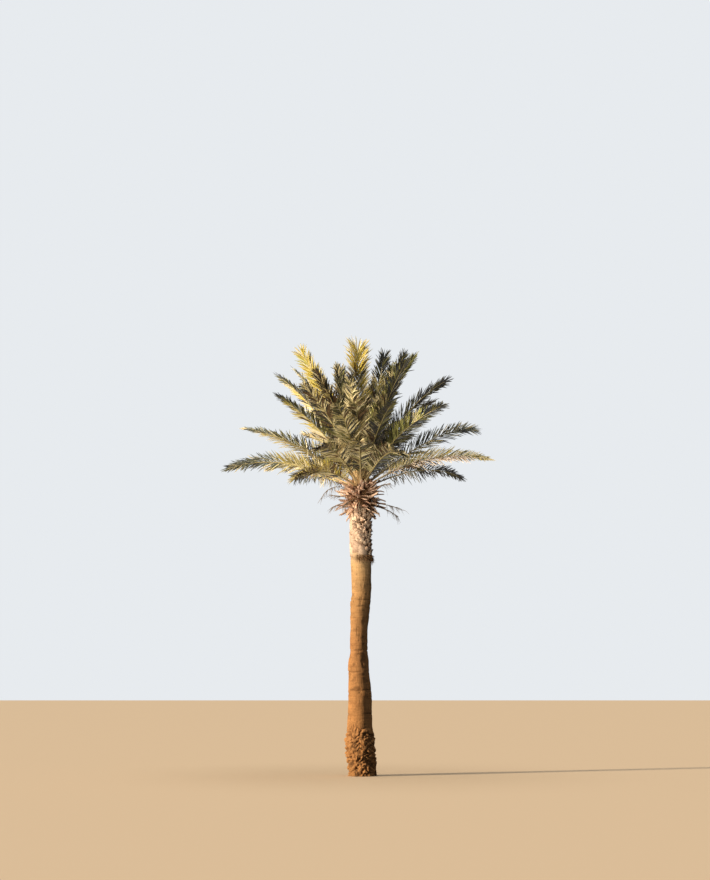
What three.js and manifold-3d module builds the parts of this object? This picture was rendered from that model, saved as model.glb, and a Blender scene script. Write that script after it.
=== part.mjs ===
// A date palm: one trunk that leans and swells a little, a collar of cut leaf bases under the crown, a few dry stalks,
// and a round crown of stiff feather fronds.
//
// Millimetres, +Z up. The origin is the centre of the flat cut at ground level. +X is to the viewer's right and
// +Y is away from the viewer. Angles are in degrees: an azimuth turns from +X to +Y, an elevation is above level.
import * as THREE from "three";
import { mergeVertices } from "three/addons/utils/BufferGeometryUtils.js";
import Module from "manifold-3d";

const wasm = await Module();
wasm.setup();

// The trunk's outline: height, how far its centre stands to the right, and its radius.
const TRUNK = [
  [0, 4, 270],
  [230, -8, 272],
  [420, -26, 291],
  [650, -40, 290],
  [960, -46, 250],
  [1500, -42, 229],
  [1800, -56, 217],
  [2200, -72, 200],
  [2400, -62, 178],
  [2800, -58, 175],
  [3040, -48, 183],
  [3360, -32, 203],
  [3560, -12, 194],
  [4200, -17, 207],
  [4700, -37, 196],
  [5200, -26, 205],
  [5700, -20, 205],
];
const TRUNK_SIDES = 18;
const TRUNK_RINGS = 38;
const ROOT_LUMPS = { height: 900, depth: 0.045, around: 5 }; // lumps on the swollen foot, as a share of its radius

// The heart is the dome on the trunk's tip that the fronds grow from.
const HEART = { z: 5700, radius: 205, height: 330, rings: 6 };

// Cut leaf bases wind up the trunk: worn scales that lie close to it, then long stubs that spread like a brush.
const GOLDEN_ANGLE = 137.508;
const BASE_SUNK = 45;
const SCALES = { count: 42, from: 4250, to: 5140, elevation: 66, reach: 62, width: 100, thickness: 46 };
const STUBS = { count: 60, from: 5170, to: 5690, width: 70, thickness: 34, tipShare: 0.55 };
const STUB_REACH = { lowest: 150, middle: 340, highest: 240, varies: 0.25 };
const STUB_ELEVATION = { lowest: -24, highest: 34 };

// A frond is measured in hundredths of its length: its bare stalk, its leaflets and its last leaflet.
const FROND = { steps: 100, petioleEnd: 15, petiolePitch: 5, leafPitch: 4, ribEnd: 91, sunk: 60, rolledBy: 0.25 };
const RIB = { baseWidth: 42, baseHeight: 32, tipWidth: 7, tipHeight: 7 };
const LEAFLET = { length: 430, baseVee: 34, tipVee: 15, veeSpread: 13 };
const LEAFLET_OPEN = { old: 58, young: 40, oldLaunch: 28, youngLaunch: 64 }; // angle to the rib near its foot
const BLUNT_TIP = { angle: 30, shorter: 0.22 }; // the angle of the last leaflets, and how much shorter they are
const POINTED_TIP = { angle: 20, shorter: 0.68 };
const FOOT = { lowLaunch: 20, degreesPerLaunch: 1.15 }; // how high on the heart a frond's foot sits
const LEAFLET_TRIES = [1, 0.8, 0.62, 0.45]; // a leaflet takes the first of these lengths that is clear
const LEAFLET_CLEAR = 2; // air between the leaflets of two fronds
const GAP = 0.35; // air between a frond or stalk and the trunk that carries it

// Each frond: azimuth, elevation at its foot and at its tip, how late it bends, length, roll at the tip, and how
// pointed the tip is.
const OUTLINE_FRONDS = [
  [179, 25, -25, 1.6, 2750, 42, 0.7],
  [164, 37.5, 8, 1.6, 2800, -38, 1],
  [224, 48.5, 17, 1.0, 2670, 18, 0.9],
  [174, 62.5, 33, 1.7, 2780, 48, 0.9],
  [154, 65, 42, 2.0, 2880, 35, 1],
  [193, 69.5, 57, 1.6, 2880, 70, 0.2],
  [113, 69, 63, 1.5, 2800, -15, 0.5],
  [100, 84, 79, 1.4, 2860, 0, -0.4],
  [53, 76, 70, 1.5, 2870, 22, 0.3],
  [356, 76.5, 62, 1.6, 2740, -50, 0.6],
  [323, 77, 42, 1.0, 2740, -15, 0.7],
  [7, 61, 22, 2.1, 2820, -50, 0.6],
  [311, 46, 6.5, 1.0, 2720, -30, 0.7],
  [19, 37.5, -5, 2.6, 2820, 55, 0.3],
  [337, 27, -18, 1.2, 2750, 52, 1],
  [37, 23.5, -23.5, 1.8, 2750, -58, 0.9],
  [124, 18, -10, 2.6, 2600, 50, 0.4],
];

// The fronds that fill the crown's front and back, ring by ring.
const RING_POINTED = 0.6;
const RINGS = [
  { azimuths: [251, 269, 287], launch: 25, tip: -25, bend: 1.6, length: 2640 },
  { azimuths: [60, 87, 111, 138], launch: 31, tip: -15, bend: 1.6, length: 2680 },
  { azimuths: [63, 81, 100, 122, 259, 284], launch: 40, tip: 4, bend: 1.6, length: 2700 },
  { azimuths: [68, 88, 110, 240], launch: 51, tip: 18, bend: 1.5, length: 2700 },
  { azimuths: [80, 133, 306], launch: 65, tip: 42, bend: 1.5, length: 2640 },
];

// Fronds that stand by themselves: a low one, one that points at the viewer, two steep ones above it and three young
// ones. As in the first table.
const SINGLE_FRONDS = [
  [237, 15, -34, 1.4, 2350, 20, 0.6],
  [267, 52, -8, 1.3, 2550, 10, 0.3],
  [238, 61, 30, 1.5, 2550, 20, 0.6],
  [262, 61, 22, 1.5, 2450, -15, 0.6],
  [45, 66, 80, 1.5, 2650, 15, 0.3],
  [347, 57, 32, 1.5, 2100, -20, 0.7],
  [160, 76, 84, 1.5, 2400, -50, 0.7],
];

// Old stalks that hang on under the crown: azimuth, height, elevation at the foot and the tip, length, radius.
const STALKS = [
  [2, 5370, -2, -26, 700, 11],
  [10, 5330, -8, -38, 640, 12],
  [347, 5655, 12, 14, 450, 14],
  [176, 5480, 8, 6, 430, 13],
  [160, 5430, -8, -28, 480, 14],
  [195, 5580, 34, -80, 790, 9],
  [86, 5500, -6, -32, 600, 12],
  [129, 5650, 14, 2, 470, 14],
  [266, 5370, -10, -40, 560, 12],
  [233, 5420, -12, -40, 480, 12],
];
const STALK_STEPS = 6;
const STALK_SIDES = 5;

const rad = THREE.MathUtils.degToRad;
const lerp = THREE.MathUtils.lerp;
const UP = new THREE.Vector3(0, 0, 1);

// A smooth line through a table's rows, by the height in their first column.
function along(table, z) {
  let i = table.findIndex((row) => row[0] > z) - 1;
  if (i < 0) i = z < table[0][0] ? 0 : table.length - 2;
  const [a, b] = [table[i], table[i + 1]];
  const t = (z - a[0]) / (b[0] - a[0]);
  const slope = (k, column) => {
    const [before, after] = [table[Math.max(k - 1, 0)], table[Math.min(k + 1, table.length - 1)]];
    return ((after[column] - before[column]) / (after[0] - before[0])) * (b[0] - a[0]);
  };
  return a.map((value, column) => {
    if (column === 0) return z;
    const rise = (2 * t - 3) * t * t;
    return (
      value * (1 + rise) - b[column] * rise +
      slope(i, column) * t * (1 - t) * (1 - t) - slope(i + 1, column) * t * t * (1 - t)
    );
  });
}

function direction(azimuth, elevation) {
  const [a, e] = [rad(azimuth), rad(elevation)];
  return new THREE.Vector3(Math.cos(a) * Math.cos(e), Math.sin(a) * Math.cos(e), Math.sin(e));
}

// A closed list of triangle corners as a solid.
function solidOf(corners) {
  const open = new THREE.BufferGeometry().setFromPoints(corners);
  const merged = mergeVertices(open, 1e-3);
  return new wasm.Manifold(
    new wasm.Mesh({
      numProp: 3,
      vertProperties: merged.attributes.position.array,
      triVerts: new Uint32Array(merged.index.array),
    }),
  );
}

function geometryOf(solid) {
  const mesh = solid.getMesh();
  const geometry = new THREE.BufferGeometry();
  geometry.setAttribute("position", new THREE.BufferAttribute(mesh.vertProperties, 3));
  geometry.setIndex(new THREE.BufferAttribute(mesh.triVerts, 1));
  geometry.computeVertexNormals();
  return geometry;
}

// The corners of the triangles that close a stack of rings. Each ring runs anticlockwise seen from its far side.
function loft(rings) {
  const [first, last] = [rings[0], rings[rings.length - 1]];
  const corners = [];
  for (let i = 2; i < first.length; i++) corners.push(first[0], first[i], first[i - 1]);
  for (let i = 2; i < last.length; i++) corners.push(last[0], last[i - 1], last[i]);
  for (let r = 1; r < rings.length; r++) {
    const [low, high] = [rings[r - 1], rings[r]];
    low.forEach((corner, i) => {
      const next = (i + 1) % low.length;
      corners.push(corner, low[next], high[next], corner, high[next], high[i]);
    });
  }
  return corners;
}

// One level ring of the trunk, with the lumps of its foot. grow makes it that much thicker all round.
function trunkRing(z, centreX, radius, grow) {
  const lump = ROOT_LUMPS.depth * Math.max(0, 1 - z / ROOT_LUMPS.height);
  return Array.from({ length: TRUNK_SIDES }, (_, i) => {
    const angle = ((i + 0.5) / TRUNK_SIDES) * 2 * Math.PI;
    const reach = radius * (1 + lump * Math.sin(ROOT_LUMPS.around * angle + z / 90)) + grow;
    return new THREE.Vector3(centreX + reach * Math.cos(angle), reach * Math.sin(angle), z);
  });
}

// The trunk and its heart, from the flat cut at the ground to the tip.
function shaft(grow) {
  const rings = [];
  for (let i = 0; i <= TRUNK_RINGS; i++) {
    const [z, centreX, radius] = along(TRUNK, (HEART.z * i) / TRUNK_RINGS);
    rings.push(trunkRing(z, centreX, radius, grow));
  }
  const centreX = heartCentre().x;
  for (let i = 1; i <= HEART.rings; i++) {
    const angle = (i / (HEART.rings + 0.5)) * (Math.PI / 2);
    const z = HEART.z + (HEART.height + grow) * Math.sin(angle);
    rings.push(trunkRing(z, centreX, HEART.radius * Math.cos(angle), grow));
  }
  return solidOf(loft(rings));
}

function heartCentre() {
  return new THREE.Vector3(along(TRUNK, HEART.z)[1], 0, HEART.z);
}

// A cut leaf base: a flat tapering bar that starts inside the trunk.
function leafBase({ z, azimuth, elevation, reach, width, thickness, tipShare }, grow) {
  const [, centreX, radius] = along(TRUNK, z);
  const forward = direction(azimuth, elevation);
  const side = direction(azimuth + 90, 0);
  const up = new THREE.Vector3().crossVectors(forward, side);
  const foot = new THREE.Vector3(centreX, 0, z).addScaledVector(direction(azimuth, 0), radius - BASE_SUNK);
  const section = (distance, share) => {
    const centre = foot.clone().addScaledVector(forward, distance);
    return [[1, -1], [1, 1], [-1, 1], [-1, -1]].map(([s, u]) =>
      centre
        .clone()
        .addScaledVector(side, s * ((width * share) / 2 + grow))
        .addScaledVector(up, u * ((thickness * share) / 2 + grow)),
    );
  };
  return solidOf(loft([section(0, 1), section(BASE_SUNK + reach + grow, tipShare)]));
}

function leafBases() {
  const scales = Array.from({ length: SCALES.count }, (_, i) => ({
    ...SCALES,
    z: lerp(SCALES.from, SCALES.to, i / (SCALES.count - 1)),
    azimuth: i * GOLDEN_ANGLE,
    tipShare: 0.6,
  }));
  const stubs = Array.from({ length: STUBS.count }, (_, i) => {
    const share = i / (STUBS.count - 1);
    const outer = share < 0.5 ? STUB_REACH.lowest : STUB_REACH.highest;
    const reach = lerp(outer, STUB_REACH.middle, Math.sin(Math.PI * share));
    return {
      ...STUBS,
      z: lerp(STUBS.from, STUBS.to, share),
      azimuth: (SCALES.count + i) * GOLDEN_ANGLE,
      elevation: lerp(STUB_ELEVATION.lowest, STUB_ELEVATION.highest, share) + 8 * Math.sin(i * 3.1),
      reach: reach * (1 + STUB_REACH.varies * Math.sin(i * 2.4)),
    };
  });
  return [...scales, ...stubs];
}

function trunkSolid(grow) {
  const bases = leafBases().map((base) => leafBase(base, grow));
  return bases.reduce((whole, base) => whole.add(base), shaft(grow));
}

// Where a frond leaves the heart: steep ones near its tip, and level ones low on its side.
function frondFoot(azimuth, launch) {
  const angle = rad(THREE.MathUtils.clamp((launch - FOOT.lowLaunch) * FOOT.degreesPerLaunch, 0, 80));
  return heartCentre()
    .addScaledVector(direction(azimuth, 0), HEART.radius * Math.cos(angle))
    .addScaledVector(UP, HEART.height * Math.sin(angle));
}

// A frond's rib in equal steps: at each the point, the way on, the upper side and the section's size.
function walkRib([azimuth, launch, tip, bend, length, roll]) {
  const step = length / FROND.steps;
  const point = frondFoot(azimuth, launch).addScaledVector(direction(azimuth, launch), -FROND.sunk);
  const stations = [];
  for (let i = 0; i <= FROND.steps; i++) {
    const share = i / FROND.steps;
    const elevation = lerp(launch, tip, share ** bend);
    const forward = direction(azimuth, elevation);
    const rolled = rad(roll) * Math.min(1, share / FROND.rolledBy);
    const up = direction(azimuth, elevation + 90).applyAxisAngle(forward, rolled);
    const side = new THREE.Vector3().crossVectors(forward, up);
    stations.push({
      point: point.clone(),
      forward,
      up,
      side,
      width: lerp(RIB.tipWidth, RIB.baseWidth, (1 - share) ** 1.4),
      height: lerp(RIB.tipHeight, RIB.baseHeight, (1 - share) ** 1.2),
    });
    point.addScaledVector(forward, step + (i === 0 ? FROND.sunk : 0));
  }
  return stations;
}

function ribSection({ point, up, side, width, height }) {
  return [[1, 1], [-1, 1], [-1, -1], [1, -1]].map(([s, u]) =>
    point
      .clone()
      .addScaledVector(side, (s * width) / 2)
      .addScaledVector(up, (u * height) / 2),
  );
}

// The steps of a rib where it has a section: a few on its bare stalk, then one at each pair of leaflets.
function keptStations() {
  const kept = [];
  for (let i = 0; i < FROND.petioleEnd; i += FROND.petiolePitch) kept.push(i);
  for (let i = FROND.petioleEnd; i <= FROND.ribEnd; i += FROND.leafPitch) kept.push(i);
  return kept;
}

// The tip of the leaflet on one side of a rib between two of its kept stations, for any share of its full length.
function leafletTip({ kept, launch, pointed }, k, hand, share, turn) {
  const [near, far] = [kept[k], kept[k + 1]];
  const { old, young, oldLaunch, youngLaunch } = LEAFLET_OPEN;
  const open = lerp(old, young, THREE.MathUtils.clamp((launch - oldLaunch) / (youngLaunch - oldLaunch), 0, 1));
  const angle = rad(lerp(open, lerp(BLUNT_TIP.angle, POINTED_TIP.angle, pointed), share));
  const vee = rad(lerp(LEAFLET.baseVee, LEAFLET.tipVee, share) + turn * LEAFLET.veeSpread);
  const full = 0.5 + 0.5 * Math.sin((Math.PI / 2) * Math.min(1, share / 0.35));
  const shorter = lerp(BLUNT_TIP.shorter, POINTED_TIP.shorter, pointed);
  const late = 1 - shorter * Math.max(0, (share - 0.25) / 0.75) ** 1.15;
  const out = near.side.clone().multiplyScalar(hand * Math.cos(vee)).addScaledVector(near.up, Math.sin(vee));
  const reach = new THREE.Vector3()
    .addScaledVector(near.forward, Math.cos(angle))
    .addScaledVector(out, Math.sin(angle))
    .multiplyScalar(LEAFLET.length * full * late);
  const root = near.point.clone().lerp(far.point, 0.5);
  return (length) => root.clone().addScaledVector(reach, length);
}

// A convex piece as its corners, face normals and edges, for the clearance test.
function convexPiece(corners, faces) {
  const normals = [];
  const edges = [];
  for (const face of faces) {
    const [a, b, c] = face.map((k) => corners[k]);
    const [ab, bc] = [b.clone().sub(a), c.clone().sub(b)];
    normals.push(new THREE.Vector3().crossVectors(ab, bc).normalize());
    edges.push(ab.normalize(), bc.normalize());
  }
  return { corners, normals, edges, box: new THREE.Box3().setFromPoints(corners) };
}

const PYRAMID = [[0, 1, 4], [1, 2, 4], [2, 3, 4], [3, 0, 4], [0, 1, 2]];
const BAR = [[0, 1, 2], [4, 5, 6], [0, 4, 5], [1, 5, 6], [2, 6, 7], [3, 7, 4]];

// Whether two convex pieces have that much air between them along a face normal or a pair of edges.
function apart(a, b, air) {
  if (!a.box.clone().expandByScalar(air).intersectsBox(b.box)) return true;
  const parted = (axis) => {
    let [lowA, highA, lowB, highB] = [Infinity, -Infinity, Infinity, -Infinity];
    for (const corner of a.corners) {
      const d = corner.dot(axis);
      [lowA, highA] = [Math.min(lowA, d), Math.max(highA, d)];
    }
    for (const corner of b.corners) {
      const d = corner.dot(axis);
      [lowB, highB] = [Math.min(lowB, d), Math.max(highB, d)];
    }
    return lowA - highB >= air || lowB - highA >= air;
  };
  if ([...a.normals, ...b.normals].some(parted)) return true;
  const cross = new THREE.Vector3();
  return a.edges.some((e) =>
    b.edges.some((f) => cross.crossVectors(e, f).lengthSq() > 1e-4 && parted(cross.normalize())),
  );
}

// A frond's rib with its leaflets still to come.
function bareFrond(row, index) {
  const walk = walkRib(row);
  const kept = keptStations().map((i) => walk[i]);
  const sections = kept.map(ribSection);
  const ribPieces = sections.slice(1).map((section, i) => convexPiece([...sections[i], ...section], BAR));
  return {
    index,
    kept,
    sections,
    launch: row[1],
    pointed: row[6],
    end: walk[FROND.steps].point,
    pieces: ribPieces,
    leaflets: new Map(),
  };
}

// Gives every frond its leaflets, a ring of them at a time from the tips inwards, so that the outline comes first.
// A leaflet is shortened until it is clear of every other frond, and left off where even the shortest is not.
function growLeaflets(fronds, firstLeaf) {
  const lastLeaf = fronds[0].kept.length - 2;
  for (let k = lastLeaf; k >= firstLeaf; k--) {
    const share = (k - firstLeaf) / (lastLeaf - firstLeaf);
    for (const frond of fronds) {
      for (const [hand, face] of [[-1, 1], [1, 3]]) {
        const turn = (k + frond.index + (hand > 0 ? 1 : 0)) % 2 ? 1 : -1;
        const tipAt = leafletTip(frond, k, hand, share, turn);
        const quad = sideQuad(frond.sections[k], frond.sections[k + 1], face);
        for (const length of LEAFLET_TRIES) {
          const piece = convexPiece([...quad, tipAt(length)], PYRAMID);
          const clear = fronds.every(
            (other) => other === frond || other.pieces.every((p) => apart(piece, p, LEAFLET_CLEAR)),
          );
          if (!clear) continue;
          frond.pieces.push(piece);
          frond.leaflets.set(`${k}:${face}`, tipAt(length));
          break;
        }
      }
    }
  }
}

function sideQuad(near, far, face) {
  const next = (face + 1) % 4;
  return [near[face], far[face], far[next], near[next]];
}

// The frond's closed surface: the rib's four faces, and a pyramid in place of each side face that bears a leaflet.
function frondSolid(frond) {
  const { sections, leaflets, end } = frond;
  const corners = [];
  const cover = ([a, b, c, d], apex) => {
    if (apex) corners.push(a, b, apex, b, c, apex, c, d, apex, d, a, apex);
    else corners.push(a, b, c, a, c, d);
  };
  cover(sections[0]);
  for (let k = 0; k + 1 < sections.length; k++) {
    for (let face = 0; face < 4; face++) {
      cover(sideQuad(sections[k], sections[k + 1], face), leaflets.get(`${k}:${face}`));
    }
  }
  cover([...sections[sections.length - 1]].reverse(), end);
  return solidOf(corners);
}

// An old stalk: a thin limb that starts inside the trunk and droops.
function stalkSolid([azimuth, z, launch, tip, length, radius]) {
  const [, centreX, trunkRadius] = along(TRUNK, z);
  const point = new THREE.Vector3(centreX, 0, z).addScaledVector(direction(azimuth, 0), trunkRadius - 30);
  const rings = [];
  for (let i = 0; i <= STALK_STEPS; i++) {
    const share = i / STALK_STEPS;
    const elevation = lerp(launch, tip, share);
    const [side, up] = [direction(azimuth + 90, 0), direction(azimuth, elevation + 90)];
    const reach = radius * lerp(1, 0.55, share);
    rings.push(
      Array.from({ length: STALK_SIDES }, (_, k) => {
        const angle = (k / STALK_SIDES) * 2 * Math.PI;
        return point
          .clone()
          .addScaledVector(side, reach * Math.cos(angle))
          .addScaledVector(up, reach * Math.sin(angle));
      }),
    );
    point.addScaledVector(direction(azimuth, elevation), length / STALK_STEPS);
  }
  return solidOf(loft(rings));
}

const bark = new THREE.MeshStandardMaterial({ color: 0xa9794e, roughness: 0.95, metalness: 0 });
const leaf = new THREE.MeshStandardMaterial({ color: 0x7d7a45, roughness: 0.65, metalness: 0 });
const straw = new THREE.MeshStandardMaterial({ color: 0x9a8468, roughness: 0.85, metalness: 0 });

const palm = new THREE.Group();
const place = (name, solid, material) => {
  const mesh = new THREE.Mesh(geometryOf(solid), material);
  mesh.name = name;
  palm.add(mesh);
};
const numbered = (stem, index) => `${stem}_${String(index + 1).padStart(2, "0")}`;

place("trunk", trunkSolid(0), bark);
const cutter = trunkSolid(GAP);

const rows = [
  ...OUTLINE_FRONDS,
  ...RINGS.flatMap(({ azimuths, launch, tip, bend, length }, ring) =>
    azimuths.map((azimuth, i) => {
      const vary = Math.sin((ring * 7 + i) * 2.3);
      const roll = 28 * Math.cos(azimuth * 1.7);
      return [azimuth, launch + 2 * vary, tip + 5 * vary, bend, length - 60 * vary, roll, RING_POINTED];
    }),
  ),
  ...SINGLE_FRONDS,
];
const fronds = rows.map(bareFrond);
growLeaflets(fronds, keptStations().indexOf(FROND.petioleEnd));
fronds.forEach((frond, i) => place(numbered("frond", i), frondSolid(frond).subtract(cutter), leaf));
STALKS.forEach((row, i) => place(numbered("old_stalk", i), stalkSolid(row).subtract(cutter), straw));

export default palm;
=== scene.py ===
"""A date palm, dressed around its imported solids.

Metres, +Z up. +X is to the viewer's right and +Y is away from the viewer. Angles are in degrees: an azimuth
turns from +X to +Y, and an elevation is above level. The fronds, leaf bases and stalks follow the rules of
the solids they stand for, carried on to finer leaflets, spines, fibre and bark.
"""

import math
from itertools import product

import bpy
import numpy as np
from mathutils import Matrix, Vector


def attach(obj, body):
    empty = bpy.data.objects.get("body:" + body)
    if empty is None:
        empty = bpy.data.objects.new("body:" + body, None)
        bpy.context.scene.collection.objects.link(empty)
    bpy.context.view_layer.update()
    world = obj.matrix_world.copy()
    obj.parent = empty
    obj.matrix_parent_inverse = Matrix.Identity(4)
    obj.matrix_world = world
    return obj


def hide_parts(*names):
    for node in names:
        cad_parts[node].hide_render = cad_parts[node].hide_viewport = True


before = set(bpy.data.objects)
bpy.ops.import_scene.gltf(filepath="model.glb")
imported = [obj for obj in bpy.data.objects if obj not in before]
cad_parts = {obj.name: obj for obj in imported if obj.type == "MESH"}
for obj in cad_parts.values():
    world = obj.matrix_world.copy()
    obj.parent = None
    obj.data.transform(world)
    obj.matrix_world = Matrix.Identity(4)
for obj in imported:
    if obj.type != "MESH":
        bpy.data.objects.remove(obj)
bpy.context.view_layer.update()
BODY = "root"
FROND_NODES = sorted(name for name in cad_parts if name.startswith("frond_"))
STALK_NODES = sorted(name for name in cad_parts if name.startswith("old_stalk_"))
random = np.random.default_rng(41)
uniform, normal = random.uniform, random.normal

# The trunk's outline: height, how far its centre stands to the right, and its radius.
TRUNK = np.array([
    [0, 0.004, 0.270],
    [0.230, -0.008, 0.272],
    [0.420, -0.026, 0.291],
    [0.650, -0.040, 0.290],
    [0.960, -0.046, 0.250],
    [1.500, -0.042, 0.229],
    [1.800, -0.056, 0.217],
    [2.200, -0.072, 0.200],
    [2.400, -0.062, 0.178],
    [2.800, -0.058, 0.175],
    [3.040, -0.048, 0.183],
    [3.360, -0.032, 0.203],
    [3.560, -0.012, 0.194],
    [4.200, -0.017, 0.207],
    [4.700, -0.037, 0.196],
    [5.200, -0.026, 0.205],
    [5.700, -0.020, 0.205],
])

# The lumps of the foot, and the domed heart above the trunk that the fronds grow from.
ROOT_LUMPS = {"height": 0.9, "depth": 0.045, "around": 5, "twist": 0.09}
HEART = {"centre": np.array([-0.020, 0, 5.7]), "radius": 0.205, "height": 0.330}

# The cut leaf bases: worn scales that lie close to the trunk, with a crust of small ones on its rough side,
# then stubs that spread like a brush, whose widths run from the trunk to the cut.
GOLDEN_ANGLE = 137.508
BASE = {"sunk": 0.045, "twist": 22, "slant": 0.35, "cut_thickness": 0.72}
SCALES = {
    "count": 42, "from": 4.25, "to": 5.14, "below": 0.045,
    "across": 9, "up": 7, "clear": 0.003, "bulge": 0.011,
}
CRUST = {"count": 270, "from": 4.28, "to": 5.22, "strays": 6, "share": 0.7}
STUBS = {
    "count": 60, "from": 5.17, "to": 5.69, "width": 0.070, "thickness": 0.038, "strays": 7,
    "widths": (2.0, 1.6, 1.25, 0.95, 0.75, 0.64, 0.58), "bend": (-42, 14), "ragged": 0.018,
}
STUB_REACH = {"lowest": 0.150, "middle": 0.340, "highest": 0.240, "varies": 0.25}
STUB_ELEVATION = {"lowest": -24, "highest": 34, "varies": 8}

# A scale's height, the angle to each side that it spreads over at its foot and at its cut, its lean, its
# thickness and its tear.
WORN_SCALE = (0.230, 34, 19, 0.007, 0.020, 0.030)
CRUST_SCALE = (0.082, 12, 8, 0.030, 0.036, 0.016)

# The broken bases and the chips between the others: count, heights, reaches, elevations and widths.
BROKEN = (190, (5.16, 5.80), (0.05, 0.21), (-15, 62), (0.030, 0.080))
CHIPS = (130, (4.55, 5.22), (0.03, 0.075), (10, 70), (0.025, 0.060))
SPLINTER = {
    "strays": 35, "lower": 25, "thickness": 0.55, "foot_width": 1.5, "cut_width": (0.35, 0.9), "steps": 7,
    "bend": (-45, 40), "ragged": 0.024,
}

# The fibre under the lowest scales, between the scales and between the stubs: count, heights, azimuths,
# elevations, lengths, thicknesses and droops.
FIBRE = [
    (330, (4.21, 4.32), (250, 400), (-70, 10), (0.04, 0.08), (0.006, 0.012), (0.1, 0.6)),
    (420, (4.50, 5.15), (230, 410), (20, 80), (0.03, 0.09), (0.003, 0.006), (0.0, 0.4)),
    (900, (5.12, 5.72), (0, 360), (-20, 80), (0.06, 0.19), (0.004, 0.010), (0.0, 0.5)),
]

# Of a frond's length, stalk is bare, stalk_piece is what the stalks' own pieces take, and rib is where its
# rib ends. The steeper it is, the nearer to the heart's tip it grows, and the less its leaflets open.
FROND = {"steps": 100, "stalk": 0.15, "stalk_piece": 0.20, "rib": 0.91, "sunk": 0.060, "rolled_by": 0.25}
FOOT = {"low_launch": 20, "per_launch": 1.15, "highest": 80}
RIB = {
    "base_width": 0.042, "base_height": 0.032, "tip_width": 0.007, "tip_height": 0.007,
    "width_taper": 1.4, "height_taper": 1.2, "flare": 1.9, "flare_end": 0.12,
}
LEAFLET = {
    "length": 0.430, "full_by": 0.35, "shorter_from": 0.25, "base_vee": 34, "tip_vee": 15, "vee_spread": 13,
    "strays": 8, "vee_strays": 15, "twist": (18, 18),
    "lengths": (0.86, 1.04), "widths": (0.82, 1.12), "droops": (0.0, 0.14),
}
OPEN = {"old": 58, "young": 40, "old_launch": 28, "young_launch": 64}
BLUNT_TIP = {"angle": 30, "shorter": 0.22}
POINTED_TIP = {"angle": 20, "shorter": 0.68}

# Each frond: azimuth, elevation at its foot and at its tip, how late it bends, length, roll, and how pointed
# its tip is. Then the mixes of its left, right and outer leaflets, and where along it the outer one sets in.
# Where a frond's two sides wear a light and a dark mix, that paints a sunlit and a shaded row, and the dark
# mixes on tips and on the right-hand fronds are painted shade.
OUTLINE_FRONDS = [
    (179, 25, -25, 1.6, 2.750, 42, 0.7, "tan", "tan", "grey", 0.50),
    (164, 37.5, 8, 1.6, 2.800, -38, 1, "pale", "green", "grey", 0.76),
    (224, 48.5, 17, 1.0, 2.670, 18, 0.9, "green", "tan", "dark", 0.84),
    (174, 62.5, 33, 1.7, 2.780, 48, 0.9, "green", "tan", "dark", 0.90),
    (154, 65, 42, 2.0, 2.880, 35, 1, "khaki", "pale", "grey", 0.66),
    (193, 69.5, 57, 1.6, 2.880, 70, 0.2, "tan", "golden", "golden", 0.62),
    (113, 69, 63, 1.5, 2.800, -15, 0.5, "lime", "green", "green", 0.60),
    (100, 84, 79, 1.4, 2.860, 0, -0.4, "tan", "tan", "golden", 0.78),
    (53, 76, 70, 1.5, 2.870, 22, 0.3, "khaki", "pale", "dark", 0.74),
    (356, 76.5, 62, 1.6, 2.740, -50, 0.6, "green", "khaki", "dark", 0.74),
    (323, 77, 42, 1.0, 2.740, -15, 0.7, "green", "lime", "lime", 0.80),
    (7, 61, 22, 2.1, 2.820, -50, 0.6, "dark", "dark", "dark", 0.60),
    (311, 46, 6.5, 1.0, 2.720, -30, 0.7, "dark", "lime", "dark", 0.72),
    (19, 37.5, -5, 2.6, 2.820, 55, 0.3, "grey", "grey", "grey", 0.90),
    (337, 27, -18, 1.2, 2.750, 52, 1, "pale", "rosy", "pale", 0.88),
    (37, 23.5, -23.5, 1.8, 2.750, -58, 0.9, "grey", "dark", "dark", 0.45),
    (124, 18, -10, 2.6, 2.600, 50, 0.4, "dry", "dry", "dark", 0.60),
]

# The fronds that fill the crown's front and back: azimuths, then elevations, bend and length as above, and
# how much each of those four varies.
RINGS = [
    ((251, 269, 287), 25, -25, 1.6, 2.640),
    ((60, 87, 111, 138), 31, -15, 1.6, 2.680),
    ((63, 81, 100, 122, 259, 284), 40, 4, 1.6, 2.700),
    ((68, 88, 110, 240), 51, 18, 1.5, 2.700),
    ((80, 133, 306), 65, 42, 1.5, 2.640),
]
RING_VARIES = np.array([2, 5, 0, -0.060])
RING_ROLL = 28
RING_POINTED = 0.6

# Fronds that stand by themselves: a low one, one that points at the viewer, two steep ones above it and
# three young ones. As in the first table.
SINGLE_FRONDS = [
    (237, 15, -34, 1.4, 2.350, 20, 0.6, "tan", "khaki", "tan", 0.60),
    (267, 52, -8, 1.3, 2.550, 10, 0.3, "dusk", "dry", "brown", 0.50),
    (238, 61, 30, 1.5, 2.550, 20, 0.6, "dusk", "khaki", "dusk", 0.50),
    (262, 61, 22, 1.5, 2.450, -15, 0.6, "khaki", "dusk", "khaki", 0.60),
    (45, 66, 80, 1.5, 2.650, 15, 0.3, "green", "lime", "lime", 0.50),
    (347, 57, 32, 1.5, 2.100, -20, 0.7, "dark", "dark", "dark", 0.50),
    (160, 76, 84, 1.5, 2.400, -50, 0.7, "khaki", "khaki", "khaki", 0.50),
]

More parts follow.
